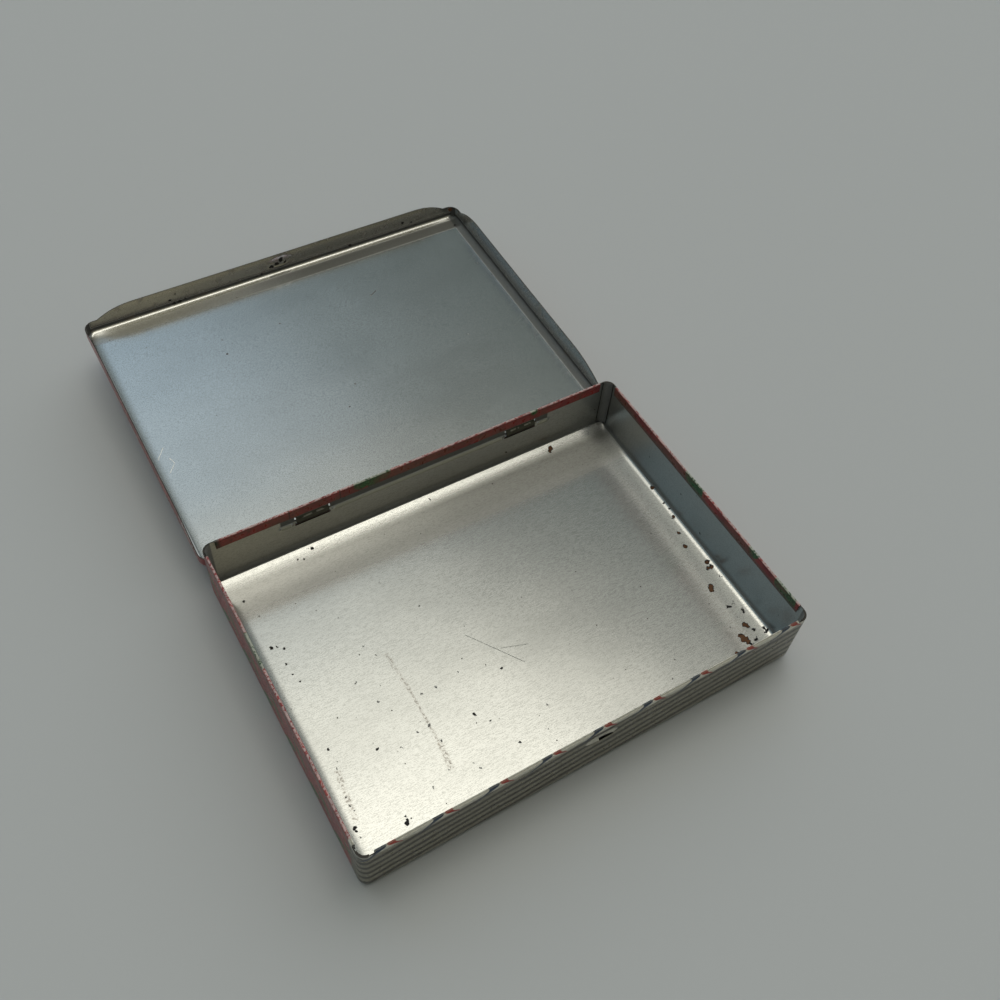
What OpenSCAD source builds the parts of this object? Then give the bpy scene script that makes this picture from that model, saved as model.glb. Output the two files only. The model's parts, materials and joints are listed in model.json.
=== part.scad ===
// Hinged tinplate box, standing open: a shallow tray folded from one sheet,
// and a lid folded from another. The lid's own metal is curled round two
// narrow bars left in the tray's back wall, and that is the whole hinge.
//
// Frame: X runs along the hinge, +Y points from the front wall to the hinge,
// and +Z up. The origin is the centre of the tray's underside.

/* [Tray] */
// Outer width of the tray, along the hinge
tray_w = 140; // [120:1:180]
// Outer depth of the tray, from its front wall to its hinge wall
tray_d = 101.4; // [80:0.1:140]
// Height of the tray, up to the top of its rim
tray_h = 22.6; // [18:0.2:40]
// Outer radius of the upright corners
corner_r = 3.4; // [2.6:0.1:4.4]
// Outer radius of the bend between floor and wall
floor_bend_r = 1; // [0.6:0.1:2]
// Thickness of the tinplate
sheet = 0.3; // [0.22:0.01:0.36]

/* [Rim] */
// Height of the edge that is folded down inside the wall
hem_w = 3.3; // [2.4:0.1:3.4]
// Air inside the fold
hem_gap = 0.25; // [0.1:0.05:0.4]
// Plain edge left beside each corner, past the corner's bend
hem_stop = 0.5; // [0.2:0.1:3]
// Height of the opening below the lap inside each corner
lap_lift = 0.8; // [0.4:0.1:3]

/* [Lid] */
// Gap between the tray's side walls and the lid's sides
side_gap = 0.5; // [0.3:0.05:0.8]
// Gap between the tray's front wall and the lid's front
front_gap = 1.4; // [1.1:0.05:1.8]
// Air between the closed lid's panel and the rim
panel_gap = 0.4; // [0.1:0.05:0.6]
// Depth of the lid's skirt, from the inside of its panel
skirt_h = 8; // [6.5:0.1:11]
// Depth of the skirt round its corners and along its hinge side
skirt_low_h = 4.5; // [3:0.1:4.8]
// Low edge left beside each corner, past the corner's bend
low_stop = 0.5; // [0.2:0.1:2]
// Length over which the front and side edges run down to a front corner
front_dip = 12; // [8:0.5:20]
// Length over which a side edge runs down to a back corner
back_dip = 17; // [8:0.5:24]
// Outer radius of the bend between panel and skirt
lid_bend_r = 0.9; // [0.6:0.1:1.6]

/* [Hinge] */
// How far behind the tray's back wall the hinge axis lies
axis_out = 1.1; // [1:0.05:1.4]
// How far below the rim the hinge axis lies
axis_drop = 6.6; // [6.2:0.1:8]
// Angle that each curl wraps round
curl_wrap = 300; // [280:5:310]
// Width of each curl
curl_w = 10.5; // [6:0.5:16]
// Distance between the middles of the two curls
curl_span = 72; // [50:1:90]
// Height of the bar of wall that each curl holds
bar_h = 1.2; // [1:0.1:1.6]
// Running gap between a curl and the bar inside it
bar_gap = 0.25; // [0.2:0.01:0.3]
// Running gap round a curl, where it passes through the wall
curl_gap = 0.3; // [0.2:0.05:0.35]
// Gap beside a curl, along the hinge
curl_side_gap = 0.5; // [0.3:0.1:1]
// Gap between the open lid's hinge side and the back wall it stops at
stop_gap = 0.3; // [0.2:0.05:0.5]
// Angle from the open lid to the closed one
opening = 178.3; // [170:0.1:180]

/* [Bead] */
// How far below the rim the bead in the back wall lies
bead_drop = 6; // [5.6:0.1:7.4]
// Radius of the bead on its inner side
bead_r = 1.5; // [1.2:0.1:2]
// How far the bead stands out of the wall
bead_rise = 0.45; // [0.2:0.05:0.6]
// Flat wall left between a curl and the bead
bead_clear = 1.2; // [1:0.1:4]
// Length of the short bead outside each curl
bead_stub = 3; // [1:0.5:6]

/* [Catch] */
// Width of the pressed catch, on tray and lid
catch_w = 11; // [8:0.5:16]
// Height of the hollow pressed into the tray's front wall
catch_h = 4; // [3:0.1:4.6]
// Depth of that hollow
catch_depth = 0.7; // [0.5:0.05:0.9]
// How far below the rim the hollow's middle lies
catch_drop = 5.4; // [5.3:0.1:7]
// Width of the slit cut along the hollow's lower edge
slit_w = 4.6; // [3:0.1:6]
// Height of that slit
slit_h = 0.9; // [0.6:0.1:1.2]
// Height of the swelling pressed into the lid's skirt
lid_catch_h = 5; // [4:0.1:5.6]
// How far the lid's swelling sits above the tray's hollow
catch_lift = 1.2; // [0:0.1:1.6]
// Air between the lid's swelling and the tray's wall
catch_clear = 0.7; // [0.4:0.05:0.8]

/* [Hidden] */
$fn = 64;
over = 1;                 // how far a cutter reaches past what it cuts

// Rim
fold_r = sheet + hem_gap / 2;
wall_top = tray_h - fold_r;
hem_end = corner_r + hem_stop;

// Hinge axis, and the lid measured from it with the panel lying flat
axis_y = tray_d / 2 + axis_out;
axis_z = tray_h - axis_drop;
tilt = 180 - opening;
panel_z = -(axis_drop + panel_gap);
skirt_back = -(axis_out - stop_gap);
skirt_front = axis_out + tray_d + front_gap + sheet;
lid_w = tray_w + 2 * (side_gap + sheet);
lid_d = skirt_front - skirt_back;
lid_corner_r = corner_r + side_gap + sheet;
low_end = lid_corner_r + low_stop;

// Curls: their outer radius, where the skirt's middle meets the curl's middle,
// and the wall's slots
curl_r = sqrt(pow(axis_out + sheet, 2) + pow(bar_h / 2, 2)) + bar_gap + sheet;
tab_y = skirt_back + sheet / 2;
curl_mid_r = curl_r - sheet / 2;
tab_top = -sqrt(pow(curl_mid_r, 2) - pow(tab_y, 2));
tab_angle = atan2(tab_top, tab_y);
slot_half_h = sqrt(pow(curl_r, 2) - pow(axis_out, 2)) + curl_gap;
slot_w = curl_w + 2 * curl_side_gap;

// Beads: from the middle run's end to the outer end of a stub
bead_in = curl_span / 2 - slot_w / 2 - bead_clear;
bead_out = curl_span / 2 + slot_w / 2 + bead_clear;

// Catch on the lid, as deep as the gap to the tray's front wall allows
catch_z = tray_h - catch_drop;
lid_catch_z = catch_drop - axis_drop - catch_lift;
lid_catch_depth = front_gap - catch_clear;

// Radius of the circle that rises by rise over half of a chord
function arc_r(chord, rise) = (pow(chord / 2, 2) + pow(rise, 2)) / (2 * rise);

// Quarter of a bent sheet, from the flat underside up to the outer face
module bend_profile(r) {
    intersection() {
        difference() {
            circle(r);
            circle(r - sheet);
        }
        translate([0, -r])
            square(r);
    }
}

// Section of a pan at its edge: X runs outwards from the corner's centre
module pan_profile(corner, bend, h) {
    square([corner - bend, sheet]);
    translate([corner - bend, bend])
        bend_profile(bend);
    translate([corner - sheet, bend])
        square([sheet, h - bend]);
}

// Places children, a section, along one straight side that faces -Y
module along_side(len, across, corner) {
    translate([len / 2, -(across / 2 - corner), 0])
        rotate([90, 0, -90])
            linear_extrude(len)
                children();
}

// Shallow folded pan with rounded upright corners
module pan(w, d, h, corner, bend) {
    translate([-(w / 2 - corner), -(d / 2 - corner), 0])
        cube([w - 2 * corner, d - 2 * corner, sheet]);
    for (side = [0:3]) {
        len = side % 2 == 0 ? w : d;
        across = side % 2 == 0 ? d : w;
        rotate([0, 0, 90 * side]) {
            along_side(len - 2 * corner, across, corner)
                pan_profile(corner, bend, h);
            translate([-(len / 2 - corner), -(across / 2 - corner), 0])
                rotate([0, 0, 180])
                    rotate_extrude(angle = 90)
                        pan_profile(corner, bend, h);
        }
    }
}

// Spindle along X, thickest in its middle: the form of a pressed catch.
// It reaches rise past its axis-parallel face, over w by h there.
module spindle(w, h, rise, extra) {
    mid_r = arc_r(h, rise);
    long_r = arc_r(w, rise);
    rotate([0, 90, 0])
        rotate_extrude()
            intersection() {
                translate([mid_r - long_r, 0])
                    circle(long_r + extra, $fn = 256);
                translate([0, -w / 2 - extra])
                    square([mid_r + extra, w + 2 * extra]);
            }
}

// Sheet pressed inwards from a wall whose outer face is at y = 0, inside at +Y
module pressed_sheet(w, h, rise) {
    intersection() {
        translate([0, rise - arc_r(h, rise), 0])
            spindle(w, h, rise, sheet);
        translate([-w, 0, -h])
            cube([2 * w, 2 * rise + 2 * sheet, 2 * h]);
    }
}

// What the press takes out of that wall
module pressed_hollow(w, h, rise) {
    translate([0, rise - arc_r(h, rise), 0])
        spindle(w, h, rise, 0);
}

// Rod along X with round ends, from x0 to x1
module round_rod(r, x0, x1) {
    translate([x0, 0, 0])
        rotate([0, 90, 0])
            cylinder(r = r, h = x1 - x0);
    for (x = [x0, x1])
        translate([x, 0, 0])
            sphere(r);
}

// The three runs of bead beside the curls
module bead_runs(r) {
    translate([0, tray_d / 2 - sheet - bead_rise + bead_r, tray_h - bead_drop]) {
        round_rod(r, -bead_in, bead_in);
        for (side = [-1, 1])
            mirror([side < 0 ? 1 : 0, 0, 0])
                round_rod(r, bead_out, bead_out + bead_stub);
    }
}

// Edge of one wall, folded inwards and down
module hem(len, across) {
    along_side(len, across, corner_r) {
        translate([corner_r - fold_r, wall_top])
            intersection() {
                difference() {
                    circle(fold_r);
                    circle(fold_r - sheet);
                }
                translate([-fold_r, 0])
                    square([2 * fold_r, fold_r]);
            }
        translate([corner_r - 2 * fold_r, tray_h - hem_w])
            square([sheet, hem_w - fold_r]);
    }
}

// End of one wall, lapped round inside a corner
module corner_lap() {
    rotate([0, 0, 180])
        rotate_extrude(angle = 90)
            translate([corner_r - 2 * sheet, floor_bend_r + lap_lift])
                square([sheet, wall_top - floor_bend_r - lap_lift]);
}

// The two openings in the back wall that leave a bar for each curl
module hinge_slots() {
    for (side = [-1, 1], edge = [-1, 1])
        translate([
            side * curl_span / 2 - slot_w / 2,
            tray_d / 2 - sheet - over,
            axis_z + (edge > 0 ? bar_h / 2 : -slot_half_h)
        ])
            cube([slot_w, sheet + 2 * over, slot_half_h - bar_h / 2]);
}

module tray() {
    color([0.62, 0.6, 0.55])
        difference() {
            union() {
                pan(tray_w, tray_d, wall_top, corner_r, floor_bend_r);
                for (side = [0:3]) {
                    len = side % 2 == 0 ? tray_w : tray_d;
                    across = side % 2 == 0 ? tray_d : tray_w;
                    rotate([0, 0, 90 * side]) {
                        hem(len - 2 * hem_end, across);
                        translate([-(len / 2 - corner_r), -(across / 2 - corner_r), 0])
                            corner_lap();
                    }
                }
                translate([0, -tray_d / 2, catch_z])
                    pressed_sheet(catch_w, catch_h, catch_depth);
                intersection() {
                    bead_runs(bead_r);
                    translate([-tray_w / 2, tray_d / 2 - 2 * bead_r, 0])
                        cube([tray_w, 2 * bead_r, tray_h]);
                }
            }
            translate([0, -tray_d / 2, catch_z])
                pressed_hollow(catch_w, catch_h, catch_depth);
            translate([-slit_w / 2, -tray_d / 2 - over, catch_z - catch_h / 2])
                cube([slit_w, sheet + catch_depth + 2 * over, slit_h]);
            bead_runs(bead_r - sheet);
            hinge_slots();
        }
}

// What the press trims off one straight edge of the skirt and the corner before
// it. The edge starts at the origin, runs along X, and comes up to its full
// height over dip.
module dip_cutter(dip) {
    drop = skirt_h - skirt_low_h;
    r = arc_r(2 * dip, drop);
    rotate([90, 0, 0])
        linear_extrude(2 * lid_corner_r, center = true)
            difference() {
                translate([-low_end - over, skirt_low_h])
                    square([low_end + over + dip, drop + over]);
                translate([dip, skirt_h - r])
                    circle(r, $fn = 256);
            }
}

// All that is trimmed off the skirt, over a panel whose middle is at the origin
module skirt_trim() {
    for (side = [-1, 1]) {
        mirror([side < 0 ? 1 : 0, 0, 0]) {
            // side edge, at its front and back ends
            translate([lid_w / 2, lid_d / 2 - low_end, 0])
                rotate([0, 0, -90])
                    dip_cutter(front_dip);
            translate([lid_w / 2, low_end - lid_d / 2, 0])
                rotate([0, 0, 90])
                    dip_cutter(back_dip);
            // front edge
            translate([low_end - lid_w / 2, lid_d / 2, 0])
                dip_cutter(front_dip);
        }
    }
    // hinge side, low all along
    translate([-lid_w / 2, -lid_d / 2 - over, skirt_low_h])
        cube([lid_w, lid_corner_r + over, skirt_h]);
}

// Point at an angle and a distance from the origin
function at(angle, r) = r * [cos(angle), sin(angle)];

// One tab of the hinge side, curled round the axis
module curl() {
    translate([-curl_w / 2, 0, 0])
        rotate([90, 0, 90])
            linear_extrude(curl_w) {
                difference() {
                    circle(curl_r);
                    circle(curl_r - sheet);
                    // the curl's open mouth
                    polygon([
                        [0, 0],
                        at(tab_angle, 2 * curl_r),
                        at(tab_angle + 360 - curl_wrap, 2 * curl_r)
                    ]);
                }
                translate([skirt_back, panel_z])
                    square([sheet, tab_top - panel_z]);
            }
}

// Lid with its panel flat, its inside up and the hinge axis through the origin
module flat_lid() {
    difference() {
        union() {
            translate([0, (skirt_back + skirt_front) / 2, panel_z - sheet])
                difference() {
                    pan(lid_w, lid_d, skirt_h + sheet, lid_corner_r, lid_bend_r);
                    translate([0, 0, sheet])
                        skirt_trim();
                }
            for (side = [-1, 1])
                translate([side * curl_span / 2, 0, 0])
                    curl();
            translate([0, skirt_front, lid_catch_z])
                rotate([0, 0, 180])
                    pressed_sheet(catch_w, lid_catch_h, lid_catch_depth);
        }
        translate([0, skirt_front, lid_catch_z])
            rotate([0, 0, 180])
                pressed_hollow(catch_w, lid_catch_h, lid_catch_depth);
    }
}

module lid() {
    color([0.5, 0.56, 0.6])
        translate([0, axis_y, axis_z])
            rotate([tilt, 0, 0])
                flat_lid();
}

tray();
lid();
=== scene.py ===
import json
import math

import bmesh
import bpy
from mathutils import Matrix, Vector


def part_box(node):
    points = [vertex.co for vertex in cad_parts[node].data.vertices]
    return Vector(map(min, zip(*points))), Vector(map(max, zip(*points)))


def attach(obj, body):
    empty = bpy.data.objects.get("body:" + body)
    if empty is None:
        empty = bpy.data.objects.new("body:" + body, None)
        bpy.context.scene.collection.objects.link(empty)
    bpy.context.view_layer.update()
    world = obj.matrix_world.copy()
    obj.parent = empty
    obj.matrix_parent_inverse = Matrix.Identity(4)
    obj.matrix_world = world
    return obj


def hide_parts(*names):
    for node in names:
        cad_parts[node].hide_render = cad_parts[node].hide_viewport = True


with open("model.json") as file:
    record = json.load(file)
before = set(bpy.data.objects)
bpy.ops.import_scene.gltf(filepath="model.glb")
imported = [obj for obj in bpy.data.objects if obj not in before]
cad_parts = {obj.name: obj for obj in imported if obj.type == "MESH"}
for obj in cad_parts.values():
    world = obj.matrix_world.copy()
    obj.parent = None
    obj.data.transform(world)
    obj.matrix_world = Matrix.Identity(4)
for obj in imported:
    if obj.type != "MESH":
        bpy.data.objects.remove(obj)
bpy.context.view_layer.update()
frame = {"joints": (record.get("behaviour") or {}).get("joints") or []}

# ---------------------------------------------------------------------------
# Tray. One blank of tinplate, printed outside and bare inside, folded up into a shallow pan. The top
# of each wall is folded in and down again, so the print comes round the rim. Two slots leave a bar in
# the back wall for each of the lid's curls, and the catch is pressed into the front wall.
# ---------------------------------------------------------------------------
MM = 0.001
NEAR = 0.02 * MM
SHEET = 0.3 * MM
WAVE = 0.16 * MM

tray_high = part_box("tray")[1]
half_w = tray_high.x
half_d = tray_high.y
rim_z = tray_high.z
hinge_axis = Vector(frame["joints"][0]["pos_m"])

TRAY_CORNER = 2.8 * MM
TRAY_BEND = 2.2 * MM
FOLD_R = 0.425 * MM
HEM_DEPTH = 3.5 * MM
HEM_STOP = 1.5 * MM
wall_top = rim_z - FOLD_R
hem_end = TRAY_CORNER + HEM_STOP

CURL_SPAN = 72 * MM
CURL_W = 10.5 * MM
SLOT_W = CURL_W + 1 * MM
BAR_H = 1.2 * MM
BAR_GAP = 0.25 * MM
axis_out = hinge_axis.y - half_d
curl_r = math.hypot(axis_out + SHEET, BAR_H / 2) + BAR_GAP + SHEET
slot_reach = math.sqrt(curl_r ** 2 - axis_out ** 2) + 0.3 * MM

BEAD_R = 1.5 * MM
BEAD_RISE = 0.45 * MM
bead_z = rim_z - 7.4 * MM
bead_in = (CURL_SPAN - SLOT_W) / 2 - 1.2 * MM
bead_out = (CURL_SPAN + SLOT_W) / 2 + 1.2 * MM
BEAD_STUB = 3 * MM

CATCH_W = 11 * MM
CATCH_H = 4 * MM
CATCH_DEPTH = 0.7 * MM
SLIT_X = 1.8 * MM
SLIT_W = 4.6 * MM
SLIT_H = 0.9 * MM
SLIT_DEEP = 0.9 * MM
catch_z = rim_z - 5.4 * MM


def choose(obj, kind, test):
    """In edit mode, selects the points, edges or faces whose points all pass the test."""
    bpy.ops.mesh.select_mode(type=kind)
    bpy.ops.mesh.select_all(action="DESELECT")
    mesh = bmesh.from_edit_mesh(obj.data)
    parts = {"VERT": mesh.verts, "EDGE": mesh.edges, "FACE": mesh.faces}[kind]
    for part in parts:
        points = [part] if kind == "VERT" else part.verts
        part.select_set(all(test(point.co) for point in points))
    mesh.select_flush_mode()
    bmesh.update_edit_mesh(obj.data)


def score(obj, axis, places, test):
    """Cuts the faces that pass the test along planes across one axis."""
    normal = Vector((0, 0, 0))
    normal["xyz".index(axis)] = 1
    for place in places:
        choose(obj, "FACE", test)
        bpy.ops.mesh.bisect(plane_co=normal * place, plane_no=normal)


def steps(low, high, count):
    """Evenly spaced places from low to high, with both ends."""
    return [low + (high - low) * i / count for i in range(count + 1)]


def folded_pan(name, width, depth, height, corner, bend):
    """The outer face of a pan that stands on z = 0, ready in edit mode."""
    bpy.ops.object.select_all(action="DESELECT")
    bpy.ops.mesh.primitive_cube_add(size=1, location=(0, 0, height / 2))
    obj = bpy.context.object
    obj.name = name
    obj.scale = (width, depth, height)
    bpy.ops.object.transform_apply(location=True, rotation=False, scale=True)
    bpy.ops.object.mode_set(mode="EDIT")
    choose(obj, "FACE", lambda p: p.z > height - NEAR)
    bpy.ops.mesh.delete(type="FACE")
    for side in (-1, 1):
        for end in (-1, 1):
            choose(obj, "EDGE", lambda p: p.x * side > 0 and p.y * end > 0)
            bpy.ops.mesh.bevel(offset=corner, segments=8, affect="EDGES")
    choose(obj, "EDGE", lambda p: p.z < NEAR)
    bpy.ops.mesh.bevel(offset=bend, segments=5, affect="EDGES")
    everywhere = lambda p: True
    for axis, span in (("x", width), ("y", depth)):
        places = [side * (span / 2 - corner - step) for side in (-1, 1) for step in steps(0, 6 * MM, 8)]
        score(obj, axis, places, everywhere)
    score(obj, "x", steps(corner - width / 2 + MM, width / 2 - corner - MM, 64), everywhere)
    score(obj, "y", steps(corner - depth / 2 + MM, depth / 2 - corner - MM, 46), everywhere)
    score(obj, "z", steps(bend + MM, height - MM, 6), everywhere)
    return obj


def dish(obj, half_x, half_y, bend, sides):
    """Lets the sheet come up before its bends: a rise, reach and power at the left, right, front and back."""
    for point in bmesh.from_edit_mesh(obj.data).verts:
        if point.co.z > bend - NEAR:
            continue
        inward = (half_x + point.co.x, half_x - point.co.x, half_y + point.co.y, half_y - point.co.y)
        lift = 0
        for distance, (rise, reach, power) in zip(inward, sides):
            share = max(0, (reach - distance) / (reach - bend))
            lift = max(lift, rise * share ** power)
        point.co.z += lift * (1 - point.co.z / bend)
    bmesh.update_edit_mesh(obj.data)


def wave(obj, depth, size):
    """Lets the sheet lie a little uneven, always inwards of its true place."""
    bpy.ops.object.mode_set(mode="OBJECT")
    clouds = bpy.data.textures.new("uneven sheet", "CLOUDS")
    clouds.noise_scale = size
    clouds.noise_depth = 1
    bend = obj.modifiers.new("uneven", "DISPLACE")
    bend.texture = clouds
    bend.texture_coords = "LOCAL"
    bend.mid_level = 0
    bend.strength = -depth
    bpy.ops.object.modifier_apply(modifier="uneven")
    bpy.ops.object.mode_set(mode="EDIT")


def press(obj, test, depth):
    """Pushes points of an upright wall along Y, by a depth worked out from x and z."""
    mesh = bmesh.from_edit_mesh(obj.data)
    for point in mesh.verts:
        if test(point.co):
            point.co.y += depth(point.co.x, point.co.z)
    bmesh.update_edit_mesh(obj.data)


def bulge_r(chord, rise):
    """Radius of the arc that rises by rise over a chord."""
    return ((chord / 2) ** 2 + rise ** 2) / (2 * rise)


def spindle(x, z, width, height, rise):
    """Depth of a pressed catch at x and z from its middle."""
    mid_r = bulge_r(height, rise)
    long_r = bulge_r(width, rise)
    if abs(x) >= width / 2:
        return 0
    here_r = mid_r - long_r + math.sqrt(long_r ** 2 - x ** 2)
    if abs(z) >= here_r:
        return 0
    return max(0, rise - mid_r + math.sqrt(here_r ** 2 - z ** 2))


def bead(x, z):
    """Depth of the beads in the back wall."""
    runs = [(-bead_in, bead_in)]
    runs += [(bead_out, bead_out + BEAD_STUB), (-bead_out - BEAD_STUB, -bead_out)]
    best = 0
    for start, end in runs:
        beyond = max(0, start - x, x - end)
        left = BEAD_R ** 2 - beyond ** 2 - (z - bead_z) ** 2
        if left > 0:
            best = max(best, BEAD_RISE - BEAD_R + math.sqrt(left))
    return best


tray = folded_pan("tray_shell", 2 * half_w, 2 * half_d, wall_top, TRAY_CORNER, TRAY_BEND)
TRAY_RISES = [(0.5 * MM, 5.5 * MM, 1.5), (0.85 * MM, 11.5 * MM, 1.8), (0.5 * MM, 5.5 * MM, 1.5),
              (1.45 * MM, 13 * MM, 2)]
dish(tray, half_w, half_d, TRAY_BEND, TRAY_RISES)
wave(tray, WAVE, 34 * MM)

# the slots in the back wall, either side of each bar
at_back = lambda p: p.y > half_d - 0.5 * MM and abs(p.x) < half_w - TRAY_CORNER + NEAR
curl_xs = (-CURL_SPAN / 2, CURL_SPAN / 2)
slot_zs = (-slot_reach, -BAR_H / 2, BAR_H / 2, slot_reach)
score(tray, "z", [hinge_axis.z + z for z in slot_zs], at_back)
score(tray, "x", [x + side * SLOT_W / 2 for x in curl_xs for side in (-1, 1)], at_back)
for x in curl_xs:
    for low, high in (slot_zs[:2], slot_zs[2:]):
        choose(tray, "FACE", lambda p: at_back(p) and abs(p.x - x) < SLOT_W / 2 + NEAR
               and low - NEAR < p.z - hinge_axis.z < high + NEAR)
        bpy.ops.mesh.delete(type="FACE")

# the beads beside the slots
bead_half = math.sqrt(BEAD_R ** 2 - (BEAD_R - BEAD_RISE) ** 2)
score(tray, "z", steps(bead_z - bead_half, bead_z + bead_half, 6), at_back)
ends = (bead_in, bead_out, bead_out + BEAD_STUB)
score(tray, "x", [side * (e + step * 0.3 * MM) for e in ends for side in (-1, 1)
                  for step in range(-3, 4)], at_back)
press(tray, at_back, lambda x, z: -bead(x, z))

# the catch's hollow in the front wall, and the narrow pocket under it
at_front = lambda p: p.y < -half_d + 0.5 * MM and abs(p.x) < half_w - TRAY_CORNER + NEAR
score(tray, "z", steps(catch_z - CATCH_H / 2, catch_z + CATCH_H / 2, 12), at_front)
score(tray, "z", [catch_z - CATCH_H / 2 + SLIT_H], at_front)
score(tray, "x", steps(-CATCH_W / 2, CATCH_W / 2, 22), at_front)
score(tray, "x", [SLIT_X - SLIT_W / 2, SLIT_X + SLIT_W / 2], at_front)
press(tray, at_front, lambda x, z: spindle(x, z - catch_z, CATCH_W, CATCH_H, CATCH_DEPTH))
choose(tray, "FACE", lambda p: p.y < -half_d + MM and abs(p.x - SLIT_X) < SLIT_W / 2 + NEAR
       and -NEAR < p.z - catch_z + CATCH_H / 2 < SLIT_H + NEAR)
bpy.ops.mesh.extrude_region_move(TRANSFORM_OT_translate={"value": (0, SLIT_DEEP, -0.3 * MM)})

# the laps inside the corners
in_corner = lambda p: (abs(p.x) > half_w - TRAY_CORNER - NEAR and abs(p.y) > half_d - TRAY_CORNER - NEAR
                       and p.z > TRAY_BEND + 0.8 * MM)
choose(tray, "FACE", in_corner)
bpy.ops.mesh.duplicate()
bpy.ops.transform.shrink_fatten(value=-(SHEET + NEAR))

# the hem: each straight edge goes over a half circle and down
for turn in range(4):
    outward = Matrix.Rotation(turn * math.pi / 2, 3, "Z") @ Vector((0, -1, 0))
    along = Vector((-outward.y, outward.x, 0))
    reach = half_d if turn % 2 == 0 else half_w
    length = half_w if turn % 2 == 0 else half_d
    choose(tray, "EDGE", lambda p: p.z > wall_top - 0.3 * MM and p.dot(outward) > reach - 0.5 * MM
           and abs(p.dot(along)) < length - hem_end + NEAR)
    last = (0, 0)
    for step in range(1, 9):
        if step < 8:
            angle = step * math.pi / 7
            here = (FOLD_R * (math.cos(angle) - 1), FOLD_R * math.sin(angle))
        else:
            here = (-2 * FOLD_R, FOLD_R - HEM_DEPTH)
        move = outward * (here[0] - last[0]) + Vector((0, 0, here[1] - last[1]))
        bpy.ops.mesh.extrude_region_move(TRANSFORM_OT_translate={"value": move})
        last = here


def thicken(obj, finishes):
    """Gives the sheet its thickness and its finishes: outside, inside and cut edge."""
    bpy.ops.object.mode_set(mode="OBJECT")
    for finish in finishes:
        obj.data.materials.append(finish)
    wall = obj.modifiers.new("thickness", "SOLIDIFY")
    wall.thickness = SHEET
    wall.offset = -1
    wall.use_even_offset = True
    wall.material_offset = 1
    wall.material_offset_rim = 2
    bpy.ops.object.modifier_apply(modifier="thickness")
    bpy.ops.object.shade_smooth_by_angle(angle=math.radians(32))


def add(tree, kind, inputs=None, **settings):
    """Adds a shader node. Each input is a plain value or another node's output."""
    new = tree.nodes.new(kind)
    for name, value in settings.items():
        setattr(new, name, value)
    for name, value in (inputs or {}).items():
        if isinstance(value, bpy.types.NodeSocket):
            tree.links.new(value, new.inputs[name])
        else:
            new.inputs[name].default_value = value
    return new


def calc(tree, operation, *values):
    """One sum on numbers, each a plain value or another node's output."""
    return add(tree, "ShaderNodeMath", dict(enumerate(values)), operation=operation).outputs[0]


def times(tree, first, *others):
    """The product of masks and levels, each a plain value or another node's output."""
    product = first
    for other in others:
        product = calc(tree, "MULTIPLY", product, other)
    return product


def ramp(tree, value, low, high, out_low=0.0, out_high=1.0):
    """Goes smoothly from one level to another as value goes from low to high."""
    inputs = {"Value": value, "From Min": low, "From Max": high, "To Min": out_low, "To Max": out_high}
    return add(tree, "ShaderNodeMapRange", inputs, interpolation_type="SMOOTHSTEP").outputs[0]


def band(tree, value, low, high, soft):
    """Is 1 where value lies from low to high, and fades out over soft at either end."""
    rise = ramp(tree, value, low - soft / 2, low + soft / 2)
    fall = ramp(tree, value, high - soft / 2, high + soft / 2, 1.0, 0.0)
    return times(tree, rise, fall)


def blend(tree, share, first, second):
    """Mixes two colours."""
    new = add(tree, "ShaderNodeMix", {0: share}, data_type="RGBA")
    for place, colour in ((6, first), (7, second)):
        if isinstance(colour, bpy.types.NodeSocket):
            tree.links.new(colour, new.inputs[place])
        else:
            new.inputs[place].default_value = (*colour, 1)
    return new.outputs[2]


def clouding(tree, place, size, stretch=(1, 1, 1), detail=2.0, seed=0.0):
    """Soft noise from 0 to 1, whose lumps are size long, times stretch along each axis."""
    scale = [1 / (size * s) for s in stretch]
    where = add(tree, "ShaderNodeMapping", {"Vector": place, "Scale": scale, "Location": (seed, seed, seed)})
    inputs = {"Vector": where.outputs[0], "Scale": 1.0, "Detail": detail}
    return add(tree, "ShaderNodeTexNoise", inputs).outputs[0]


def ragged(tree, place, size, amount):
    """The place pushed about a little, so that what is drawn there gets an uneven edge."""
    noise_at = add(tree, "ShaderNodeTexNoise", {"Vector": place, "Scale": 1 / size, "Detail": 3.0})
    centred = add(tree, "ShaderNodeVectorMath", {0: noise_at.outputs["Color"], 1: (0.5, 0.5, 0.5)},
                  operation="SUBTRACT")
    inputs = {0: centred.outputs[0], 1: (2 * amount, 2 * amount, 2 * amount), 2: place}
    return add(tree, "ShaderNodeVectorMath", inputs, operation="MULTIPLY_ADD").outputs[0]


def spots(tree, place, marks, soft=0.15 * MM):
    """Is 1 on round marks, each given by x, y, z and radius in mm."""
    nearest = None
    for *middle, radius in marks:
        inputs = {0: place, 1: [value * MM for value in middle]}
        away = add(tree, "ShaderNodeVectorMath", inputs, operation="DISTANCE").outputs["Value"]
        away = calc(tree, "SUBTRACT", away, radius * MM)
        nearest = away if nearest is None else calc(tree, "MINIMUM", nearest, away)
    return ramp(tree, nearest, -soft, soft, 1.0, 0.0)


def specks(tree, place, spacing, radius, share):
    """Is 1 on small specks strewn over a level surface."""
    cells = add(tree, "ShaderNodeTexVoronoi", {"Vector": place, "Scale": 1 / spacing},
                voronoi_dimensions="2D")
    chance = add(tree, "ShaderNodeSeparateColor", {0: cells.outputs["Color"]}).outputs
    size = times(tree, chance[1], radius / spacing)
    inside = calc(tree, "SUBTRACT", size, cells.outputs["Distance"])
    there = calc(tree, "GREATER_THAN", chance[0], 1 - share)
    return times(tree, ramp(tree, inside, 0.0, 0.25 * radius / spacing), there)


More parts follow.
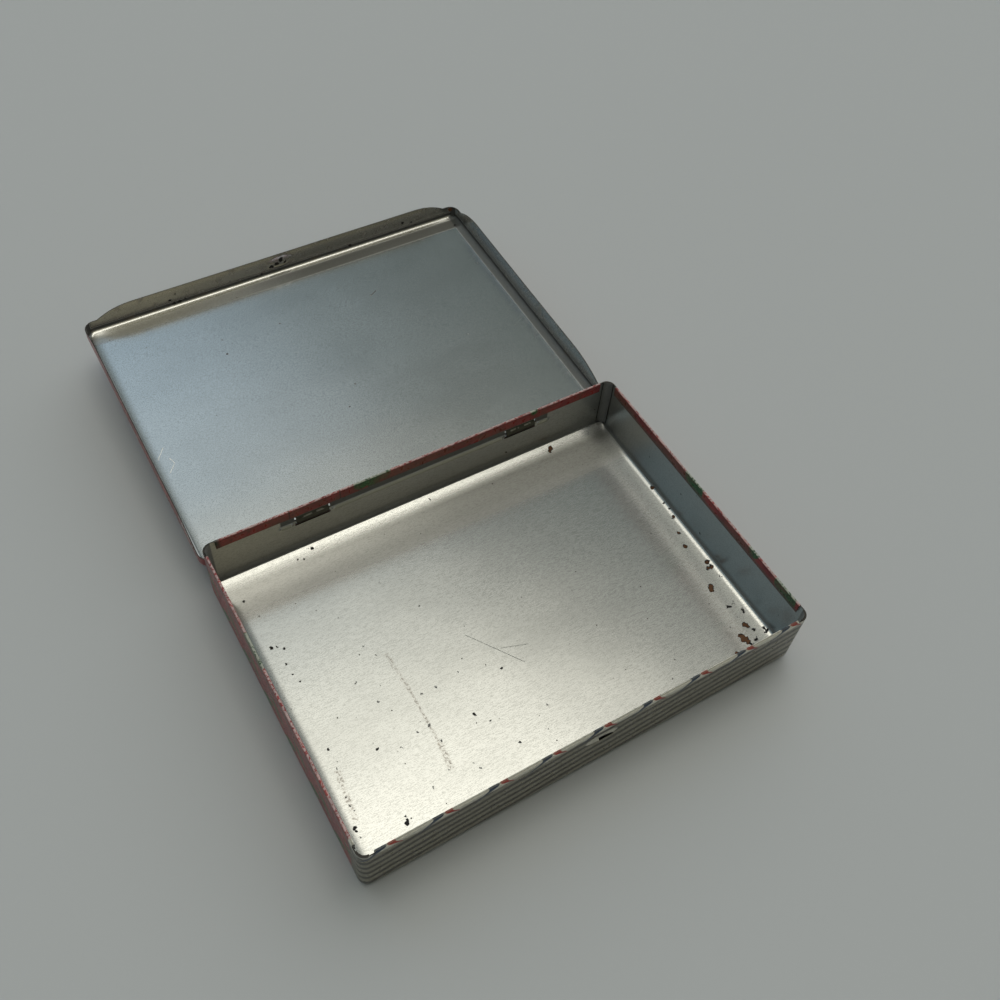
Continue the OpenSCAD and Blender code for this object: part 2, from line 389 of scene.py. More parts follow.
def new_finish(name):
    """An empty material with its tree, its shader and the place on the piece."""
    finish = bpy.data.materials.new(name)
    finish.use_nodes = True
    tree = finish.node_tree
    shader = tree.nodes["Principled BSDF"]
    place = add(tree, "ShaderNodeTexCoord").outputs["Object"]
    return finish, tree, shader, place


def bare_tin(name, stretch, dirt_and_shade_layers):
    """Rolled tinplate with a stretched grain. The last argument gives its dirt, rust and painted light, as
    masks and colours.
    """
    finish, tree, shader, place = new_finish(name)
    grain = clouding(tree, place, 0.24 * MM, stretch, 3)
    stipple = clouding(tree, place, 0.32 * MM, (1.3, 1, 1), 2, 7)
    cloud = clouding(tree, place, 22 * MM, (1.6, 1, 1), 3, 3)
    mixed = calc(tree, "ADD", times(tree, grain, 0.55), times(tree, stipple, 0.45))
    colour = blend(tree, ramp(tree, mixed, 0.34, 0.58), TIN_DULL, TIN_PALE)
    colour = blend(tree, ramp(tree, cloud, 0.4, 0.75, 0.0, 0.35), colour, TIN_DULL)
    stain_and_shade_cover = 0.0
    for mask, tone in dirt_and_shade_layers(tree, place):
        colour = blend(tree, mask, colour, tone)
        stain_and_shade_cover = calc(tree, "MAXIMUM", stain_and_shade_cover, mask)
    bump = add(tree, "ShaderNodeBump", {"Height": mixed, "Strength": 0.08, "Distance": 0.04 * MM})
    tree.links.new(colour, shader.inputs["Base Color"])
    tree.links.new(ramp(tree, stain_and_shade_cover, 0.0, 1.0, 1.0, 0.1), shader.inputs["Metallic"])
    tree.links.new(ramp(tree, stain_and_shade_cover, 0.0, 1.0, 0.22, 0.7), shader.inputs["Roughness"])
    tree.links.new(bump.outputs[0], shader.inputs["Normal"])
    return finish


TIN_PALE = (0.70, 0.70, 0.68)
TIN_DULL = (0.51, 0.51, 0.49)
# grime, also used as painted shade at the foot of the walls and skirt and on the laps
GRIME_AND_SHADE = (0.012, 0.011, 0.008)
SOOT = (0.01, 0.008, 0.006)
RUST = (0.16, 0.065, 0.025)
DULL_FILM = (0.3, 0.32, 0.31)
# a painted reflection of the back wall in the floor
PAINTED_BACK_REFLECTION = (0.1, 0.095, 0.075)
HEM_SHADE = (0.03, 0.028, 0.016)
# a painted highlight on the bead
BEAD_PAINTED_HIGHLIGHT = (0.42, 0.41, 0.31)
# grit, also used as painted shade in the floor's back right corner
GRIT_AND_SHADE_GREY = (0.04, 0.035, 0.028)
RUBBED_BROWN = (0.27, 0.19, 0.12)

# what lies or sticks on the tray's floor and walls: x, y, z and radius in mm
FLOOR = 0
RUST_CHIPS = [(68.9, 18.7, FLOOR, 0.5), (68.2, 6, FLOOR, 0.45), (66.2, 0.4, FLOOR, 0.4),
              (65.2, -4.8, FLOOR, 0.5), (67.5, -13.1, FLOOR, 0.6), (67.6, -15, FLOOR, 0.55),
              (66.6, -14.7, FLOOR, 0.35), (63.3, -20.8, FLOOR, 0.8), (62.9, -21.7, FLOOR, 0.6),
              (64.1, -36.4, FLOOR, 0.6), (64.6, -37.1, FLOOR, 0.5), (60.4, -38.4, FLOOR, 0.4),
              (61.1, -39.2, FLOOR, 0.75), (61.3, -40.3, FLOOR, 1), (61.6, -41.4, FLOOR, 0.7),
              (56.2, -43.1, FLOOR, 0.6), (47.9, 48.2, FLOOR, 0.7), (47, 47.2, FLOOR, 0.4)]
SOOT_CHIPS = [(68.6, 12, FLOOR, 0.4), (68.9, 9.1, FLOOR, 0.35), (66, -15.3, FLOOR, 0.4),
              (67.7, -19, FLOOR, 0.35), (68.3, -19.4, FLOOR, 0.25), (63.8, -29, FLOOR, 0.55),
              (64.4, -29.2, FLOOR, 0.35), (66.1, -28.2, FLOOR, 0.3), (65.7, -28.8, FLOOR, 0.25),
              (66.9, -31.5, FLOOR, 0.3), (66.8, -32.2, FLOOR, 0.45), (66.5, -32.9, FLOOR, 0.45),
              (63.9, -33.2, FLOOR, 0.25), (59.9, -34.8, FLOOR, 0.25), (65.4, -38.9, FLOOR, 0.55),
              (68.3, -40.4, FLOOR, 0.5), (68.6, -41.2, FLOOR, 0.45), (67.9, -41.6, FLOOR, 0.4),
              (61.9, -42.3, FLOOR, 0.4), (62.4, -43, FLOOR, 0.35), (64.1, -42.1, FLOOR, 0.6),
              (64.7, -41.4, FLOOR, 0.3), (-38.2, 48.7, FLOOR, 0.6), (-39.4, 48.8, FLOOR, 0.3),
              (-43.5, 47.3, FLOOR, 0.35), (-41.9, 46.5, FLOOR, 0.3), (2.5, 48.2, FLOOR, 0.35),
              (-52.3, -40.9, FLOOR, 0.7), (-51.9, -40, FLOOR, 0.5), (-51.7, -38.9, FLOOR, 0.35),
              (-64.7, -35.4, FLOOR, 0.55), (-64.8, -36.3, FLOOR, 0.35), (-49.8, -18.9, FLOOR, 0.4),
              (-7.5, -13.7, FLOOR, 0.45), (-61.4, -12.4, FLOOR, 0.4), (-62.4, 23.6, FLOOR, 0.5),
              (-60.9, 23, FLOOR, 0.3), (-60.9, 16.9, FLOOR, 0.35), (-60.6, 12.8, FLOOR, 0.35),
              (-59.7, 10, FLOOR, 0.35), (-59.2, 21.5, FLOOR, 0.4), (-63.3, 41.6, FLOOR, 0.4),
              (-21.5, -22.5, FLOOR, 0.45), (-18.5, -26.4, FLOOR, 0.3), (-14.6, -35.9, FLOOR, 0.35),
              (-18.6, 15.9, FLOOR, 0.3)]
GRIT = [(-46.1, 2.1, FLOOR, 0.3), (-39.2, 11.8, FLOOR, 0.3), (-37.3, 7.2, FLOOR, 0.25),
        (-43.2, -6.3, FLOOR, 0.3), (-31.5, -9.8, FLOOR, 0.35), (-34.3, -19.3, FLOOR, 0.4),
        (-38, -19.6, FLOOR, 0.35), (-43.7, -21.4, FLOOR, 0.25), (-22.3, -24.9, FLOOR, 0.25),
        (-28.7, -34.8, FLOOR, 0.3), (-27.9, -37.2, FLOOR, 0.3), (-41.5, -35.6, FLOOR, 0.25),
        (-33.5, -24.9, FLOOR, 0.35), (-2, -29.9, FLOOR, 0.3), (-35.5, -33.4, FLOOR, 0.25),
        (-19.1, -8.9, FLOOR, 0.25), (-26.9, -9.9, FLOOR, 0.3), (-63.2, -26.9, FLOOR, 0.3),
        (-63.3, -29.2, FLOOR, 0.3), (-62.8, -31.2, FLOOR, 0.25), (-64.5, -38.4, FLOOR, 0.3),
        (-61.9, -18.2, FLOOR, 0.25)]
# painted shade in the floor's back right corner: x, y, z and radius in mm
CORNER_PAINTED_SHADE = [(66.5, 46.5, FLOOR, 3)]
# where the floor is rubbed: the start and end of each streak and its width in mm
RUBS = [((-34.5, 6.2), (-33.9, -7.5), 0.9), ((-33.9, -7.5), (-34.2, -26), 0.6),
        ((-34, -25), (-34.8, -33.6), 1.2), ((-62, -19), (-63.6, -34), 1.1)]


def scratch(tree, place, start, end, width):
    """Is 1 on one thin straight scratch over a level surface, between two points in mm."""
    (x0, y0), (x1, y1) = start, end
    length = math.hypot(x1 - x0, y1 - y0)
    along = ((x1 - x0) / length, (y1 - y0) / length, 0)
    across = (-along[1], along[0], 0)
    from_start = add(tree, "ShaderNodeVectorMath", {0: place, 1: (x0 * MM, y0 * MM, 0)}, operation="SUBTRACT")
    sides = [add(tree, "ShaderNodeVectorMath", {0: from_start.outputs[0], 1: axis}, operation="DOT_PRODUCT")
             for axis in (along, across)]
    run = band(tree, sides[0].outputs["Value"], 0.0, length * MM, 0.6 * MM)
    off = calc(tree, "ABSOLUTE", sides[1].outputs["Value"])
    return times(tree, run, ramp(tree, off, 0.3 * width, width, 1.0, 0.0))


def tray_dirt_and_painted_shade(tree, place):
    """Dirt inside the tray, and painted light: the walls' foot in painted shade, specks, smears, rust and
    scratches.
    """
    x, y, z = add(tree, "ShaderNodeSeparateXYZ", {0: place}).outputs
    from_middle = calc(tree, "ABSOLUTE", x)
    past_x = calc(tree, "SUBTRACT", from_middle, half_w)
    past_y = calc(tree, "SUBTRACT", calc(tree, "ABSOLUTE", y), half_d)
    wall = ramp(tree, calc(tree, "MAXIMUM", past_x, past_y), -0.9 * MM, -0.65 * MM)
    at_back_wall = ramp(tree, y, half_d - 2.5 * MM, half_d - 2 * MM)
    level = ramp(tree, z, 1.9 * MM, 2.1 * MM, 1.0, 0.0)
    flat = add(tree, "ShaderNodeCombineXYZ", {0: x, 1: y}).outputs[0]

    # painted shade at the foot of each wall, which reaches higher at the back, a dull film, and painted shade
    # on the laps
    side_foot = ramp(tree, z, 1 * MM, 4.6 * MM, 1.0, 0.0)
    back_foot = ramp(tree, z, 1.4 * MM, 7 * MM, 1.0, 0.0)
    more_at_back = times(tree, calc(tree, "SUBTRACT", back_foot, side_foot), at_back_wall)
    yield times(tree, wall, calc(tree, "ADD", side_foot, more_at_back), 0.88), GRIME_AND_SHADE
    yield times(tree, wall, 0.22), DULL_FILM
    lapped = times(tree, ramp(tree, past_x, -3 * MM, -2.6 * MM), ramp(tree, past_y, -3 * MM, -2.6 * MM))
    yield times(tree, lapped, ramp(tree, z, 1.6 * MM, 2.4 * MM), 0.6), GRIME_AND_SHADE

    # the bead gets a painted highlight, and the strip above it is in the hem's painted shade
    on_bead = times(tree, band(tree, z, bead_z - 0.9 * MM, bead_z + 0.9 * MM, 0.5 * MM), at_back_wall)
    within_beads = ramp(tree, from_middle, 45.9 * MM, 46.5 * MM, 1.0, 0.0)
    bead_gap = band(tree, from_middle, bead_in, bead_out, 0.6 * MM)
    above = times(tree, band(tree, z, bead_z + 1 * MM, rim_z, 0.5 * MM), at_back_wall, within_beads)
    yield times(tree, above, 0.8), HEM_SHADE
    yield times(tree, on_bead, calc(tree, "SUBTRACT", within_beads, bead_gap), 0.85), BEAD_PAINTED_HIGHLIGHT

    # the floor: a painted reflection towards the back, painted shade in its corner, rubbed, strewn with chips
    # and specks
    back_wall_reflection = times(tree, ramp(tree, y, 30 * MM, 40 * MM), ramp(tree, y, 45 * MM, 49 * MM, 1.0, 0.0))
    yield times(tree, back_wall_reflection, level, ramp(tree, x, -70 * MM, 50 * MM, 0.24, 0.52)), PAINTED_BACK_REFLECTION
    yield times(tree, spots(tree, flat, CORNER_PAINTED_SHADE, 3 * MM), 0.6), GRIT_AND_SHADE_GREY
    worn = ramp(tree, clouding(tree, place, 0.6 * MM, detail=3, seed=5), 0.42, 0.66, 0.05, 0.42)
    rubbed = ragged(tree, flat, 1.6 * MM, 0.5 * MM)
    for start, end, width in RUBS:
        yield times(tree, scratch(tree, rubbed, start, end, width * MM), worn), RUBBED_BROWN
    broken = ragged(tree, flat, 1.1 * MM, 0.8 * MM)
    chips = spots(tree, broken, RUST_CHIPS, 0.08 * MM)
    edge = spots(tree, broken, [(*chip[:3], chip[3] + 0.2) for chip in RUST_CHIPS], 0.08 * MM)
    yield times(tree, edge, level), SOOT
    yield times(tree, chips, level), RUST
    yield times(tree, spots(tree, broken, SOOT_CHIPS, 0.08 * MM), level), SOOT
    yield times(tree, spots(tree, broken, GRIT, 0.1 * MM), 0.75), GRIT_AND_SHADE_GREY
    yield times(tree, level, specks(tree, flat, 5 * MM, 0.26 * MM, 0.3)), (0.08, 0.07, 0.055)
    turned = add(tree, "ShaderNodeMapping", {"Vector": place, "Rotation": (0.7, 0.7, 0)}).outputs[0]
    on_wall = specks(tree, turned, 7 * MM, 0.35 * MM, 0.35)
    yield times(tree, wall, on_wall), (0.05, 0.045, 0.03)
    yield scratch(tree, place, (-11.4, 0.8), (-0.5, -15.2), 0.13 * MM), (0.2, 0.2, 0.18)
    yield scratch(tree, place, (-4.5, -8), (3.5, -10.6), 0.11 * MM), (0.18, 0.18, 0.16)


RED = (0.34, 0.052, 0.045)
DEEP_RED = (0.24, 0.033, 0.034)
GREEN = (0.05, 0.16, 0.05)
DARK_GREEN = (0.025, 0.07, 0.025)
CREAM = (0.66, 0.64, 0.54)
# the front's cream darkened as painted shade
SHADED_CREAM = (0.24, 0.226, 0.165)
LINE = (0.03, 0.025, 0.016)
BLUE = (0.014, 0.035, 0.07)
BRIGHT_RED = (0.32, 0.035, 0.025)
WORN = (0.72, 0.64, 0.61)
LEAF_PITCH = 15 * MM
LEAF_HALF = 5.2 * MM
VEIN_HALF = 4.2 * MM
VEIN_WIDTH = 0.28 * MM
DASH_PITCH = 15.65 * MM
CREAM_EDGE = -44.6 * MM
# green that comes over the rim: x, y, z and radius in mm
RIM_GREEN = [(-70, 16.5, 22, 2.6), (-70, 13, 21.5, 3), (-70, 9.6, 22, 2.8), (69.6, 5, 22, 2.8),
             (69.6, 1.6, 21, 3), (69.6, -25.8, 22.4, 2.3), (69.6, -38.5, 22, 2.8), (69.6, -42.4, 21, 3),
             (-20, 51, 22, 2.8), (-16, 51, 21, 2.8), (-12.4, 51, 22, 2.4), (40.5, 51, 22, 1.6),
             (-66.5, 51, 21.5, 2)]


def leaf(tree, along, across, lean, half_long, half_wide):
    """Is 1 on a pointed leaf round the origin of two coordinates, leaning by an angle."""
    cos, sin = math.cos(lean), math.sin(lean)
    down = calc(tree, "ADD", times(tree, along, cos), times(tree, across, sin))
    over = calc(tree, "SUBTRACT", times(tree, across, cos), times(tree, along, sin))
    share = calc(tree, "DIVIDE", down, half_long)
    width = calc(tree, "SUBTRACT", half_wide, times(tree, share, share, half_wide))
    outside = calc(tree, "SUBTRACT", calc(tree, "ABSOLUTE", over), width)
    return ramp(tree, outside, -0.12 * MM, 0.12 * MM, 1.0, 0.0)


def repeat(tree, value, pitch, start=0.0):
    """The distance of value from the middle of its own step of a repeated pattern."""
    count = calc(tree, "DIVIDE", calc(tree, "SUBTRACT", value, start), pitch)
    part = calc(tree, "FRACT", calc(tree, "ADD", count, 0.5))
    return times(tree, calc(tree, "SUBTRACT", part, 0.5), pitch)


# dark ink, also used as painted shade over the catch
DARK_INK_AND_SHADE = (0.03, 0.02, 0.018)


def ink(tree, shader, colour, place, dull=None):
    """Finishes a printed surface: a hard glossy varnish over slightly uneven colour."""
    mottle = clouding(tree, place, 1.4 * MM, detail=4, seed=9)
    colour = blend(tree, ramp(tree, mottle, 0.35, 0.7, 0.0, 0.2), colour, DARK_INK_AND_SHADE)
    tree.links.new(colour, shader.inputs["Base Color"])
    rough = ramp(tree, mottle, 0.3, 0.7, 0.26, 0.4)
    tree.links.new(rough, shader.inputs["Roughness"])
    if dull is not None:
        tree.links.new(ramp(tree, dull, 0.0, 1.0, 0.5, 0.05), shader.inputs["Specular IOR Level"])
    bump = add(tree, "ShaderNodeBump", {"Height": mottle, "Strength": 0.15, "Distance": 0.05 * MM})
    tree.links.new(bump.outputs[0], shader.inputs["Normal"])


def tray_print():
    """Red with green leaves on three sides; cream with thin lines and slanted dashes in front."""
    finish, tree, shader, place = new_finish("tray print")
    x, y, z = add(tree, "ShaderNodeSeparateXYZ", {0: place}).outputs
    loose = ragged(tree, place, 2.4 * MM, 0.5 * MM)
    flake = clouding(tree, place, 0.6 * MM, detail=4, seed=2)
    side = ramp(tree, calc(tree, "ABSOLUTE", x), half_w - 2.2 * MM, half_w - 2 * MM)
    round_wall = calc(tree, "ADD", times(tree, y, side), times(tree, x, calc(tree, "SUBTRACT", 1.0, side)))
    colour = blend(tree, ramp(tree, clouding(tree, place, 6 * MM, detail=3), 0.4, 0.65), DEEP_RED, RED)
    for row, (height, lean) in enumerate(((11 * MM, 0.7), (4.5 * MM, -0.6))):
        along = repeat(tree, round_wall, LEAF_PITCH, row * LEAF_PITCH / 2)
        green = leaf(tree, along, calc(tree, "SUBTRACT", z, height), lean, LEAF_HALF, 1.7 * MM)
        vein = leaf(tree, along, calc(tree, "SUBTRACT", z, height), lean, VEIN_HALF, VEIN_WIDTH)
        colour = blend(tree, green, colour, GREEN)
        colour = blend(tree, vein, colour, DARK_GREEN)
    over_rim = spots(tree, loose, RIM_GREEN, 0.3 * MM)
    colour = blend(tree, over_rim, colour, blend(tree, ramp(tree, flake, 0.42, 0.55), DARK_GREEN, GREEN))

    # the cream front: thin wavy lines below on cream darkened as painted shade, a lighter band with dashes
    # along the rim
    drop = calc(tree, "SUBTRACT", rim_z, z)
    sway = times(tree, clouding(tree, place, 7 * MM, (1.5, 1, 1), 2), 2.2 * MM)
    slant = calc(tree, "ADD", drop, times(tree, x, 0.09))
    across = repeat(tree, calc(tree, "ADD", slant, sway), 3.6 * MM)
    thin = ramp(tree, calc(tree, "ABSOLUTE", across), 0.4 * MM, 1.3 * MM, 1.0, 0.0)
    wander = times(tree, clouding(tree, place, 5 * MM, detail=2, seed=4), 1.6 * MM)
    below = ramp(tree, calc(tree, "ADD", drop, wander), 1.9 * MM, 3.2 * MM)
    front = blend(tree, below, CREAM, SHADED_CREAM)
    front = blend(tree, times(tree, thin, below), front, LINE)
    along = repeat(tree, x, DASH_PITCH, -3.6 * MM)
    for lean, start, half, reach, tone in ((-1.5, 2.1, 1.5, 4.6, BLUE), (1.5, 4.9, 1.1, 3, BRIGHT_RED)):
        middle = calc(tree, "ADD", times(tree, drop, lean), start * MM)
        share = calc(tree, "SUBTRACT", 1.0, calc(tree, "DIVIDE", drop, reach * MM))
        outside = calc(tree, "SUBTRACT", calc(tree, "ABSOLUTE", calc(tree, "SUBTRACT", along, middle)),
                       times(tree, share, half * MM))
        front = blend(tree, ramp(tree, outside, -0.2 * MM, 0.2 * MM, 1.0, 0.0), front, tone)
    ridge = ramp(tree, drop, 0.02 * MM, 0.1 * MM, 1.0, 0.0)
    front = blend(tree, times(tree, ridge, 0.6), front, (0.1, 0.09, 0.06))
    past_edge = calc(tree, "ADD", y, ramp(tree, x, 0.0, 60 * MM, 0.0, 3 * MM))
    in_front = ramp(tree, past_edge, CREAM_EDGE - 0.1 * MM, CREAM_EDGE + 0.1 * MM, 1.0, 0.0)
    colour = blend(tree, in_front, colour, front)

    # the catch: a pale hollow of painted light under a line of painted shade, and the pocket painted black as
    # shade
    tall = calc(tree, "DIVIDE", calc(tree, "SUBTRACT", z, catch_z), CATCH_H / 2)
    wide = calc(tree, "DIVIDE", x, CATCH_W / 2)
    out = calc(tree, "ADD", times(tree, tall, tall), times(tree, wide, wide))
    on_front_wall = times(tree, in_front, ramp(tree, y, 2 * MM - half_d, 3 * MM - half_d, 1.0, 0.0))
    hollow = times(tree, on_front_wall, ramp(tree, out, 0.75, 0.95, 1.0, 0.0))
    colour = blend(tree, times(tree, hollow, 0.8), colour, CREAM)
    lip = times(tree, band(tree, out, 0.8, 1.15, 0.2), ramp(tree, tall, 0.1, 0.5))
    colour = blend(tree, times(tree, lip, on_front_wall, 0.85), colour, DARK_INK_AND_SHADE)
    slit_low = catch_z - CATCH_H / 2
    slit = times(tree, band(tree, z, slit_low - 0.4 * MM, slit_low + SLIT_H, 0.04 * MM),
                 band(tree, x, SLIT_X - SLIT_W / 2, SLIT_X + SLIT_W / 2, 0.04 * MM))
    slit = times(tree, slit, band(tree, y, 0.2 * MM - half_d, 3 * MM - half_d, 0.04 * MM))
    colour = blend(tree, slit, colour, (0.004, 0.004, 0.004))

    # wear: the crest of the fold is rubbed pale and cracked in two places; a dark line runs under the crest
    behind = calc(tree, "SUBTRACT", 1.0, in_front)
    crest = ramp(tree, drop, 0.1 * MM, 0.26 * MM, 1.0, 0.0)
    rubbed = times(tree, crest, behind, ramp(tree, flake, 0.4, 0.52))
    colour = blend(tree, times(tree, rubbed, 0.55), colour, WORN)
    under = times(tree, band(tree, drop, 0.4 * MM, 0.65 * MM, 0.2 * MM), behind)
    colour = blend(tree, times(tree, under, 0.6), colour, DARK_INK_AND_SHADE)
    near_rim = ramp(tree, drop, 3.6 * MM, 4.6 * MM, 1.0, 0.0)
    at_back_wall = times(tree, ramp(tree, y, 49 * MM, 50 * MM), near_rim)
    hem_face = times(tree, band(tree, drop, 0.3 * MM, 4.2 * MM, 0.3 * MM), behind)
    brown = times(tree, hem_face, ramp(tree, clouding(tree, place, 9 * MM, detail=3, seed=12), 0.42, 0.58))
    colour = blend(tree, times(tree, brown, 0.7), colour, (0.17, 0.075, 0.05))
    lower = times(tree, band(tree, drop, 2.3 * MM, 4.2 * MM, 0.6 * MM), side, behind)
    colour = blend(tree, times(tree, lower, 0.7), colour, (0.12, 0.085, 0.068))
    fleck = times(tree, hem_face, ramp(tree, clouding(tree, place, 1.1 * MM, detail=4, seed=6), 0.55, 0.68))
    colour = blend(tree, times(tree, fleck, 0.4), colour, DARK_INK_AND_SHADE)
    end = times(tree, at_back_wall, ramp(tree, x, -65 * MM, -63.5 * MM, 1.0, 0.0))
    colour = blend(tree, times(tree, end, 0.85), colour, DARK_INK_AND_SHADE)
    for crack in (-27 * MM, -43.2 * MM):
        beside = calc(tree, "ABSOLUTE", calc(tree, "SUBTRACT", x, crack))
        near = ramp(tree, beside, 0.1 * MM, 0.3 * MM, 1.0, 0.0)
        colour = blend(tree, times(tree, near, at_back_wall, 0.8), colour, DARK_INK_AND_SHADE)
    at_corner = times(tree, ramp(tree, calc(tree, "ABSOLUTE", x), half_w - 2.6 * MM, half_w - 2.2 * MM),
                      ramp(tree, calc(tree, "ABSOLUTE", y), half_d - 2.6 * MM, half_d - 2.2 * MM))
    corner_top = times(tree, at_corner, ramp(tree, drop, 0.7 * MM, 1.4 * MM, 1.0, 0.0))
    colour = blend(tree, times(tree, corner_top, 0.9), colour, DARK_INK_AND_SHADE)
    ink(tree, shader, colour, place)
    return finish


def plain_finish(name, colour, rough, metallic=0.0):
    """One colour with a faint cloudiness."""
    finish, tree, shader, place = new_finish(name)
    mottle = clouding(tree, place, 3 * MM, detail=4)
    shade = [0.8 * value for value in colour]
    tree.links.new(blend(tree, ramp(tree, mottle, 0.3, 0.7), shade, colour), shader.inputs["Base Color"])
    shader.inputs["Roughness"].default_value = rough
    shader.inputs["Metallic"].default_value = metallic
    return finish


cut_edge = plain_finish("cut edge", (0.045, 0.04, 0.032), 0.6, 0.3)
thicken(tray, (tray_print(), bare_tin("tray inside", (6, 1, 1), tray_dirt_and_painted_shade), cut_edge))
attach(tray, "tray")
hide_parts("tray")

# ---------------------------------------------------------------------------
# Lid. A second blank, folded into a shallower pan whose skirt runs low round its corners and along the
# hinge. Two tabs of the hinge side are curled round the tray's bars, and the catch's other half is
# pressed into its front.
# ---------------------------------------------------------------------------
SIDE_GAP = 0.5 * MM
FRONT_GAP = 1.4 * MM
PANEL_GAP = 0.4 * MM
STOP_GAP = 0.3 * MM
SKIRT_H = 8 * MM
SKIRT_LOW_H = 4.5 * MM
LOW_STOP = 1.5 * MM
FRONT_DIP = 12 * MM
BACK_DIP = 17 * MM
LID_BEND = 1.6 * MM
LID_CATCH_H = 5 * MM
LID_CATCH_DEPTH = 0.7 * MM
CURL_WRAP = math.radians(300)

tilt = math.radians(180 - frame["joints"][0]["range_deg"][1])
panel_z = hinge_axis.z - rim_z - PANEL_GAP
lid_catch_z = -2.4 * MM
skirt_back = STOP_GAP - axis_out
skirt_front = axis_out + 2 * half_d + FRONT_GAP + SHEET
lid_half_w = half_w + SIDE_GAP + SHEET
lid_half_d = (skirt_front - skirt_back) / 2
lid_corner = TRAY_CORNER + SIDE_GAP + SHEET


def skirt_height(x, y):
    """Height of the skirt's edge over the panel, by its place round the lid."""
    from_side = lid_half_w - lid_corner - LOW_STOP - abs(x)
    if y > lid_half_d - 0.5 * MM:
        past, dip = from_side, FRONT_DIP
    elif y < -lid_half_d + 0.5 * MM:
        past, dip = 0, BACK_DIP
    elif y > 0:
        past, dip = lid_half_d - lid_corner - LOW_STOP - y, FRONT_DIP
    else:
        past, dip = lid_half_d - lid_corner - LOW_STOP + y, BACK_DIP
    if past <= 0:
        return SKIRT_LOW_H
    drop_r = bulge_r(2 * dip, SKIRT_H - SKIRT_LOW_H)
    short = max(0, dip - past)
    return SKIRT_H - drop_r + math.sqrt(drop_r ** 2 - short ** 2)


lid = folded_pan("lid_shell", 2 * lid_half_w, 2 * lid_half_d, SKIRT_H + SHEET, lid_corner, LID_BEND)
LID_RISES = [(0.1 * MM, 4 * MM, 2), (0.1 * MM, 4 * MM, 2), (0, 4 * MM, 2), (0.3 * MM, 4.4 * MM, 2)]
dish(lid, lid_half_w, lid_half_d, LID_BEND, LID_RISES)

# the hinge side's tabs and the front's catch are scored before the sheet is shaped
hinge_side = lambda p: p.y < -lid_half_d + 0.5 * MM and abs(p.x) < lid_half_w - lid_corner + NEAR
front_side = lambda p: p.y > lid_half_d - 0.5 * MM and abs(p.x) < lid_half_w - lid_corner + NEAR
score(lid, "x", [x + side * CURL_W / 2 for x in curl_xs for side in (-1, 1)], hinge_side)
flat_catch_z = lid_catch_z - panel_z + SHEET
score(lid, "z", steps(flat_catch_z - LID_CATCH_H / 2, flat_catch_z + LID_CATCH_H / 2, 14), front_side)
score(lid, "x", steps(-CATCH_W / 2, CATCH_W / 2, 22), front_side)
mesh = bmesh.from_edit_mesh(lid.data)
skirt_foot = LID_BEND + NEAR
for point in mesh.verts:
    if point.co.z > skirt_foot:
        share = (skirt_height(point.co.x, point.co.y) + SHEET - skirt_foot) / (SKIRT_H + SHEET - skirt_foot)
        point.co.z = skirt_foot + (point.co.z - skirt_foot) * share
bmesh.update_edit_mesh(lid.data)
wave(lid, WAVE, 40 * MM)
press(lid, front_side, lambda x, z: -spindle(x, z - flat_catch_z, CATCH_W, LID_CATCH_H, LID_CATCH_DEPTH))

# set on the hinge axis, then the tabs are drawn up and curled round it
bpy.ops.mesh.select_all(action="SELECT")
bpy.ops.transform.translate(value=(0, (skirt_front + skirt_back) / 2, panel_z - SHEET))
tab_top = -math.sqrt(curl_r ** 2 - skirt_back ** 2)
for x in curl_xs:
    choose(lid, "EDGE", lambda p: p.y < skirt_back + 0.5 * MM and abs(p.x - x) < CURL_W / 2 + NEAR
           and p.z > panel_z + SKIRT_LOW_H - 0.3 * MM)
    bpy.ops.mesh.extrude_region_move(TRANSFORM_OT_translate={"value": (0, 0, 0.1 * MM)})
    choose(lid, "VERT", lambda p: p.y < skirt_back + 0.5 * MM and abs(p.x - x) < CURL_W / 2 + NEAR
           and p.z > panel_z + SKIRT_LOW_H + 0.05 * MM)
    for point in bmesh.from_edit_mesh(lid.data).verts:
        if point.select:
            point.co.y = skirt_back
            point.co.z = tab_top
    bpy.ops.mesh.select_mode(type="EDGE")
    bpy.ops.mesh.spin(steps=28, angle=CURL_WRAP, center=(0, 0, 0), axis=(1, 0, 0))
bpy.ops.mesh.select_all(action="SELECT")
bpy.ops.mesh.remove_doubles(threshold=0.05 * MM)
bpy.ops.mesh.normals_make_consistent(inside=False)
panel = [face for face in bmesh.from_edit_mesh(lid.data).faces if face.calc_center_median().z < panel_z]
if sum(face.normal.z * face.calc_area() for face in panel) > 0:
    bpy.ops.mesh.flip_normals()
bpy.ops.object.mode_set(mode="OBJECT")
lid.rotation_euler.x = tilt
lid.location = hinge_axis
bpy.ops.object.transform_apply(location=True, rotation=True, scale=False)

